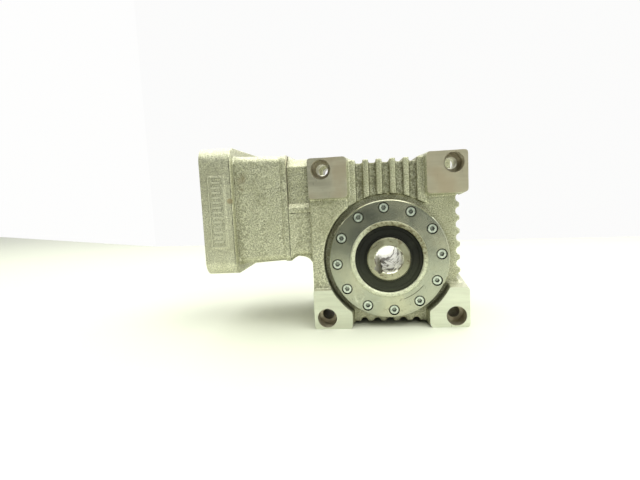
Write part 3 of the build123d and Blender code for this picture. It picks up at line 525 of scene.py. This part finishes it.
def carve(piece, tool_mesh, operation="DIFFERENCE"):
    """A boolean with one tool, which is then removed."""
    tool = new_piece("tool", tool_mesh)
    modifier = piece.modifiers.new("carve", "BOOLEAN")
    modifier.operation = operation
    modifier.object = tool
    modifier.solver = "MANIFOLD"
    settle(piece)
    bpy.data.objects.remove(tool)
    bpy.data.meshes.remove(tool_mesh)


def welded_copy(node):
    """The CAD node's surface as one closed mesh, ready to be worked on."""
    bm = bmesh.new()
    bm.from_mesh(NODES[node].data)
    bmesh.ops.remove_doubles(bm, verts=bm.verts, dist=2e-6)
    mesh = bpy.data.meshes.new(node)
    bm.to_mesh(mesh)
    bm.free()
    return mesh


def points(mesh):
    co = np.empty(len(mesh.vertices) * 3, np.float32)
    mesh.vertices.foreach_get("co", co)
    return co.reshape(-1, 3)


def set_points(mesh, co):
    mesh.vertices.foreach_set("co", np.ascontiguousarray(co, np.float32).ravel())
    mesh.update()


def keep_largest(mesh):
    """Removes loose shells, so that one closed surface is left."""
    bm = bmesh.new()
    bm.from_mesh(mesh)
    bm.verts.ensure_lookup_table()
    seen = np.zeros(len(bm.verts), bool)
    groups = []
    for vert in bm.verts:
        if seen[vert.index]:
            continue
        seen[vert.index] = True
        group, front = [vert], [vert]
        while front:
            nearby = [e.other_vert(v) for v in front for e in v.link_edges]
            front = []
            for other in nearby:
                if not seen[other.index]:
                    seen[other.index] = True
                    front.append(other)
            group += front
        groups.append(group)
    groups.sort(key=len)
    for group in groups[:-1]:
        bmesh.ops.delete(bm, geom=group, context="VERTS")
    bm.to_mesh(mesh)
    bm.free()


def soften(piece, rounds, waviness):
    """Remeshes a shape evenly and rounds its edges, then adds the slow unevenness of a casting."""
    remesh = piece.modifiers.new("remesh", "REMESH")
    remesh.mode = "VOXEL"
    remesh.voxel_size = VOXEL * MM
    remesh.adaptivity = 0.0
    settle(piece)
    keep_largest(piece.data)
    smooth = piece.modifiers.new("smooth", "SMOOTH")
    smooth.factor = 0.5
    smooth.iterations = rounds
    cloud = bpy.data.textures.new("waves", "CLOUDS")
    cloud.noise_scale = 0.014
    cloud.noise_depth = 1
    waves = piece.modifiers.new("waves", "DISPLACE")
    waves.texture = cloud
    waves.texture_coords = "LOCAL"
    waves.mid_level = 0.5
    waves.strength = waviness * MM
    settle(piece)


def thin_out(piece, faces):
    """Fewer faces where the surface is nearly flat."""
    count = sum(len(p.vertices) - 2 for p in piece.data.polygons)
    if count > faces:
        modifier = piece.modifiers.new("thin", "DECIMATE")
        modifier.ratio = faces / count
        settle(piece)


def shade_edges(mesh):
    """Smooth shading, with crisp edges where faces meet sharply."""
    mesh.polygons.foreach_set("use_smooth", [True] * len(mesh.polygons))
    mesh.set_sharp_from_angle(angle=radians(EDGE_ANGLE))


def face_facts(mesh):
    """Face centres in millimetres, and normals."""
    centre = np.empty(len(mesh.polygons) * 3, np.float32)
    normal = np.empty(len(mesh.polygons) * 3, np.float32)
    mesh.polygons.foreach_get("center", centre)
    mesh.polygons.foreach_get("normal", normal)
    return centre.reshape(-1, 3) / MM, normal.reshape(-1, 3)


def assign(mesh, rules, materials):
    """Gives faces their material: later rules win."""
    mesh.materials.clear()
    for material in materials:
        mesh.materials.append(material)
    centre, normal = face_facts(mesh)
    index = np.zeros(len(mesh.polygons), np.int32)
    for number, test in rules:
        index[test(centre, normal)] = number
    mesh.polygons.foreach_set("material_index", index)
    mesh.update()


# ---- gear case casting --------------------------------------------------------------------
def lug_back(z):
    """Distance from the middle plane to the inner end of a lug."""
    return PAD_FACE - (UPPER_LUG_DEPTH if z > 0 else LOWER_LUG_DEPTH)


def pushed_out(mesh):
    """Moves the machined planes outwards, so that they can be cut flat again after softening."""
    co = points(mesh).copy()
    front = np.abs(np.abs(co[:, 1]) - PAD_FACE * MM) < 1e-5
    co[front, 1] += np.sign(co[front, 1]) * PUSH * MM
    low = np.abs(co[:, 2] - PAD_BOTTOM * MM) < 1e-5
    co[low, 2] -= PUSH * MM
    joint = np.abs(co[:, 0] - SEAM_X * MM) < 1e-5
    co[joint, 0] -= PUSH * MM
    set_points(mesh, co)


def gear_case():
    """Softened casting with flat lug faces and exact bores."""
    plug_line = (PLUG_Y, PLUG_Z)
    mesh = welded_copy("housing")
    pushed_out(mesh)
    fill = [mesh]
    for x, z in LUG_HOLES:
        for side in (-1, 1):
            low, high = sorted((side * (lug_back(z) + 0.6), side * (PAD_FACE + PUSH)))
            fill.append(cylinder(CBORE_R + 0.4, low, high, "Y", (x, z), 48))
    fill.append(cylinder(COVER_R + 1.0, -WALL_FACE, WALL_FACE, "Y"))
    fill.append(cylinder(END_SEAT_R + 1.5, SEAM_X - PUSH, CASE_RIGHT - 0.2, "X", WORM_LINE))
    fill.append(cylinder(PLUG_SEAT_R + 0.4, PLUG_HOLE_START + 2.0, CASE_RIGHT, "X", plug_line, 48))
    for sy in (-1, 1):
        for sz in (-1, 1):
            place = (sy * SCREW_OUT, CENTRES + sz * SCREW_OUT)
            fill.append(cylinder(SCREW_HOLE_R + 0.5, SEAM_X - PUSH, SEAM_X + 16, "X", place, 32))
    piece = new_piece("gear_case", joined(fill))
    soften(piece, rounds=7, waviness=0.35)
    carve(piece, box((SEAM_X, -PAD_FACE, PAD_BOTTOM), (FARTHER, PAD_FACE, FARTHER)), "INTERSECT")
    carve(piece, cylinder(COVER_OPENING_R, -FAR, FAR, "Y"))
    carve(piece, cylinder(CHAMBER_R, -CHAMBER_HALF, CHAMBER_HALF, "Y"))
    for side in (-1, 1):
        low, high = sorted((side * WALL_FACE, side * (PAD_FACE + 5)))
        carve(piece, cylinder(COVER_R + 0.6, low, high, "Y"))
    carve(piece, cylinder(WORM_BORE_R, SEAM_X - 5, WORM_BORE_END, "X", WORM_LINE))
    carve(piece, cylinder(INPUT_SEAT_R, SEAM_X - 5, INPUT_SEAT_END, "X", WORM_LINE))
    carve(piece, cylinder(END_SEAT_R, END_SEAT_START, CASE_RIGHT + 5, "X", WORM_LINE))
    carve(piece, cylinder(PLUG_SEAT_R, PLUG_SEAT, CASE_RIGHT + 5, "X", plug_line))
    carve(piece, cylinder(PLUG_HOLE_R, PLUG_HOLE_START, CASE_RIGHT, "X", plug_line))
    for x, z in LUG_HOLES:
        for side in (-1, 1):
            outer = side * (PAD_FACE + 2)
            low, high = sorted((outer, side * (lug_back(z) - 3)))
            carve(piece, cylinder(HOLE_R, low, high, "Y", (x, z), 64))
            low, high = sorted((outer, side * (PAD_FACE - CBORE_DEPTH)))
            carve(piece, cylinder(CBORE_R, low, high, "Y", (x, z), 96))
    half = NECK_LINE_HALF
    for side in (-1, 1):
        line = box((SEAM_X + 0.5, -half, -half), (CASE_LEFT, half, half))
        shift = Matrix.Translation((0, side * NECK_Y_HALF * MM, NECK_LINE_Z * MM))
        line.transform(shift @ Matrix.Rotation(pi / 4, 4, "X"))
        carve(piece, line)
    thin_out(piece, CASE_FACES)
    mesh = piece.data
    shade_edges(mesh)

    def lug_faces(c, n):
        return (np.abs(c[:, 1]) > PAD_FACE - 0.01) & (np.abs(n[:, 1]) > 0.99)

    def feet(c, n):
        return (c[:, 2] < PAD_BOTTOM + 0.01) | (c[:, 0] < SEAM_X + 0.01)

    def holes(c, n):
        found = np.zeros(len(c), bool)
        for x, z in LUG_HOLES:
            away = np.hypot(c[:, 0] - x, c[:, 2] - z)
            depth = np.abs(c[:, 1])
            floor = np.abs(depth - (PAD_FACE - CBORE_DEPTH)) < 0.05
            wall = np.abs(n[:, 1]) < 0.3
            found |= (away < CBORE_R + 0.05) & (depth < PAD_FACE - 0.02) & (wall | floor)
        return found

    def seats(c, n):
        away = np.hypot(c[:, 0], c[:, 2])
        flat = (away < COVER_R + 1) & (np.abs(np.abs(c[:, 1]) - WALL_FACE) < 0.02)
        return flat | ((away < CHAMBER_R + 0.05) & (np.abs(c[:, 1]) < WALL_FACE))

    assign(mesh, [(1, lug_faces), (1, feet), (2, holes), (1, seats)], [CAST, MILLED, BORED])
    mesh.name = "gear_case"
    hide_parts("housing")
    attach(piece, "gearcase")


# ---- motor flange casting -----------------------------------------------------------------
def flange_panel(side):
    """Thin raised border and plain cross bars on the flange's side plate."""
    low, high = MOTOR_FACE + 7.5, MOTOR_FACE + 22.5
    bottom, top = CENTRES - 33.0, CENTRES + 33.0
    sunk, proud, border = 0.4, 1.3, 1.1
    bars, first, pitch, thick, inset = 13, 4.2, 4.6, 2.2, 3.2
    inner, outer = sorted((side * (FLANGE_HALF - sunk), side * (FLANGE_HALF + proud)))
    strips = [
        box((low, inner, bottom), (low + border, outer, top)),
        box((high - border, inner, bottom), (high, outer, top)),
        box((low + border, inner, bottom), (high - border, outer, bottom + border)),
        box((low + border, inner, top - border), (high - border, outer, top)),
    ]
    for n in range(bars):
        z = bottom + first + pitch * n
        strips.append(box((low + inset, inner, z), (high - inset, outer, z + thick)))
    return joined(strips)


def motor_bell():
    """Softened square flange and bell with exact pilot, bell bore and holes."""
    mesh = welded_copy("motor_adapter")
    co = points(mesh).copy()
    joint = np.abs(co[:, 0] - NECK_END * MM) < 1e-5
    co[joint, 0] += PUSH * MM
    face = co[:, 0] < (MOTOR_FACE + 1.0) * MM
    co[face, 0] -= PUSH * MM
    set_points(mesh, co)
    fill = [mesh, cylinder(PILOT_R + 0.5, MOTOR_FACE - PUSH, MOTOR_FACE + 8, "X", WORM_LINE)]
    fill.append(cylinder(BELL_R + 0.5, MOTOR_FACE - PUSH, BELL_END + 3, "X", WORM_LINE))
    fill.append(cylinder(INPUT_SEAL_R + 0.5, BELL_END - 2, NECK_END + PUSH, "X", WORM_LINE))
    for tap, screw in zip(TAP_HOLES, SCREW_HOLES):
        fill.append(cylinder(TAP_R + 0.6, MOTOR_FACE - PUSH, MOTOR_FACE + TAP_DEPTH + 1, "X", tap, 32))
        fill.append(cylinder(SCREW_POCKET_R + 0.7, MOTOR_FACE - PUSH, NECK_END + PUSH, "X", screw, 48))
    piece = new_piece("motor_bell", joined(fill))
    soften(piece, rounds=6, waviness=0.30)
    carve(piece, box((MOTOR_FACE, -FAR, -FAR), (NECK_END, FAR, FARTHER)), "INTERSECT")
    carve(piece, cylinder(PILOT_R, MOTOR_FACE - 5, MOTOR_FACE + PILOT_DEPTH, "X", WORM_LINE))
    carve(piece, cylinder(BELL_R, MOTOR_FACE - 5, BELL_END, "X", WORM_LINE))
    carve(piece, cylinder(QUILL_PASS_R, BELL_END - 5, NECK_END + 5, "X", WORM_LINE))
    carve(piece, cylinder(INPUT_SEAL_R, INPUT_SEAL_START, INPUT_SEAL_END, "X", WORM_LINE))
    carve(piece, cylinder(BACK_PASS_R, BACK_PASS_START, NECK_END + 5, "X", WORM_LINE))
    for tap, screw in zip(TAP_HOLES, SCREW_HOLES):
        carve(piece, cylinder(TAP_R, MOTOR_FACE - 5, MOTOR_FACE + TAP_DEPTH, "X", tap, 48))
        carve(piece, cylinder(SCREW_POCKET_R, MOTOR_FACE - 5, BELL_END + 0.5, "X", screw, 64))
        carve(piece, cylinder(SCREW_HOLE_R, BELL_END - 2, NECK_END + 5, "X", screw, 48))
    for side in (-1, 1):
        carve(piece, flange_panel(side), "UNION")
        low, high = sorted((side * (FLANGE_HALF - 0.7), side * (FLANGE_HALF + 2)))
        carve(piece, box((FLANGE_BACK - 1.5, low, CENTRES - 50), (FLANGE_BACK - 0.8, high, CENTRES + 50)))
        low, high = sorted((side * (BODY_HALF - 0.5), side * (BODY_HALF + 3)))
        carve(piece, box((FLANGE_BACK + 0.6, low, CENTRES - 44), (FLANGE_BACK + 0.95, high, CENTRES + 44)))
    thin_out(piece, BELL_FACES)
    mesh = piece.data
    shade_edges(mesh)

    def ends(c, n):
        motor_end = (c[:, 0] < MOTOR_FACE + PILOT_DEPTH + 0.02) & (n[:, 0] < -0.99)
        return motor_end | (c[:, 0] > NECK_END - 0.01)

    def bores(c, n):
        away = np.hypot(c[:, 1], c[:, 2] - CENTRES)
        return away < BELL_R + 0.05

    assign(mesh, [(2, bores), (1, ends)], [CAST, MILLED, TURNED])
    mesh.name = "motor_bell"
    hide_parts("motor_adapter")
    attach(piece, "gearcase")


gear_case()
motor_bell()


# ---- camera, stage and light --------------------------------------------------------------
def aim_camera():
    """The camera stands in front, a little left and up, and is tilted slightly."""
    place = (-0.01812, -0.4527, 0.06161)
    yaw, pitch, roll = radians(-6.42), radians(-5.95), radians(-2.87)
    forward = Vector((sin(yaw) * cos(pitch), cos(yaw) * cos(pitch), sin(pitch)))
    level = Vector((cos(yaw), -sin(yaw), 0.0))
    above = level.cross(forward)
    right = cos(roll) * level + sin(roll) * above
    up = -sin(roll) * level + cos(roll) * above
    data = bpy.data.cameras.new("camera")
    data.sensor_width = 36.0
    data.lens = 24.286
    data.clip_start = 0.01
    camera = bpy.data.objects.new("camera", data)
    turn = Matrix((right, up, -forward)).transposed()
    camera.matrix_world = Matrix.Translation(place) @ turn.to_4x4()
    SCENE.collection.objects.link(camera)
    SCENE.camera = camera


def stage_plane(name, corners, material):
    mesh = bpy.data.meshes.new(name)
    mesh.from_pydata(corners, [], [(0, 1, 2, 3)])
    mesh.materials.append(material)
    new_piece(name, mesh)


def area_light(name, place, target, size, power, colour):
    data = bpy.data.lights.new(name, "AREA")
    data.shape = "RECTANGLE"
    data.size, data.size_y = size
    data.energy = power
    data.color = colour
    light = bpy.data.objects.new(name, data)
    light.location = place
    light.rotation_mode = "QUATERNION"
    light.rotation_quaternion = (Vector(target) - Vector(place)).to_track_quat("-Z", "Y")
    SCENE.collection.objects.link(light)


def light_world():
    """A dark room in front and to the left, a pale wall on the right."""
    world = bpy.data.worlds.new("studio")
    world.use_nodes = True
    tree = world.node_tree
    shade = tree.nodes["Background"]
    shade.inputs["Color"].default_value = (0.955, 1.0, 0.92, 1.0)
    way = tree.nodes.new("ShaderNodeTexCoord")
    split = tree.nodes.new("ShaderNodeSeparateXYZ")
    ramp = tree.nodes.new("ShaderNodeMapRange")
    ramp.interpolation_type = "SMOOTHSTEP"
    for name, value in (("From Min", -0.05), ("From Max", 0.5), ("To Min", 0.10), ("To Max", 0.95)):
        ramp.inputs[name].default_value = value
    tree.links.new(way.outputs["Generated"], split.inputs[0])
    tree.links.new(split.outputs["X"], ramp.inputs["Value"])
    tree.links.new(ramp.outputs["Result"], shade.inputs["Strength"])
    SCENE.world = world


aim_camera()
FLOOR_Z = PAD_BOTTOM * MM - 0.0001
stage_plane(
    "floor",
    [(-4, -0.50, FLOOR_Z), (4, -0.50, FLOOR_Z), (4, 3, FLOOR_Z), (-4, 3, FLOOR_Z)],
    floor_material(),
)
# two walls meet behind the object, in metres: each runs from the corner to its end, up to its top
WALL_CORNER = (-0.633, 0.737)
WALLS = (("back_wall", (2.0, 0.353), 0.66, 0.970), ("side_wall", (-2.4, 1.837), 1.05, 0.990))
for name, end, top, glow in WALLS:
    corners = [(*WALL_CORNER, FLOOR_Z), (*end, FLOOR_Z), (*end, top), (*WALL_CORNER, top)]
    stage_plane(name, corners, wall_material(name + "_paper", glow))
light_world()
area_light("top", (0.03, 0.05, 1.1), (0, 0, 0), (2.8, 2.6), 44, (0.985, 1.0, 0.90))

SCENE.view_settings.view_transform = "Standard"
SCENE.view_settings.look = "None"
SCENE.view_settings.exposure = 0.0
SCENE.view_settings.gamma = 1.0
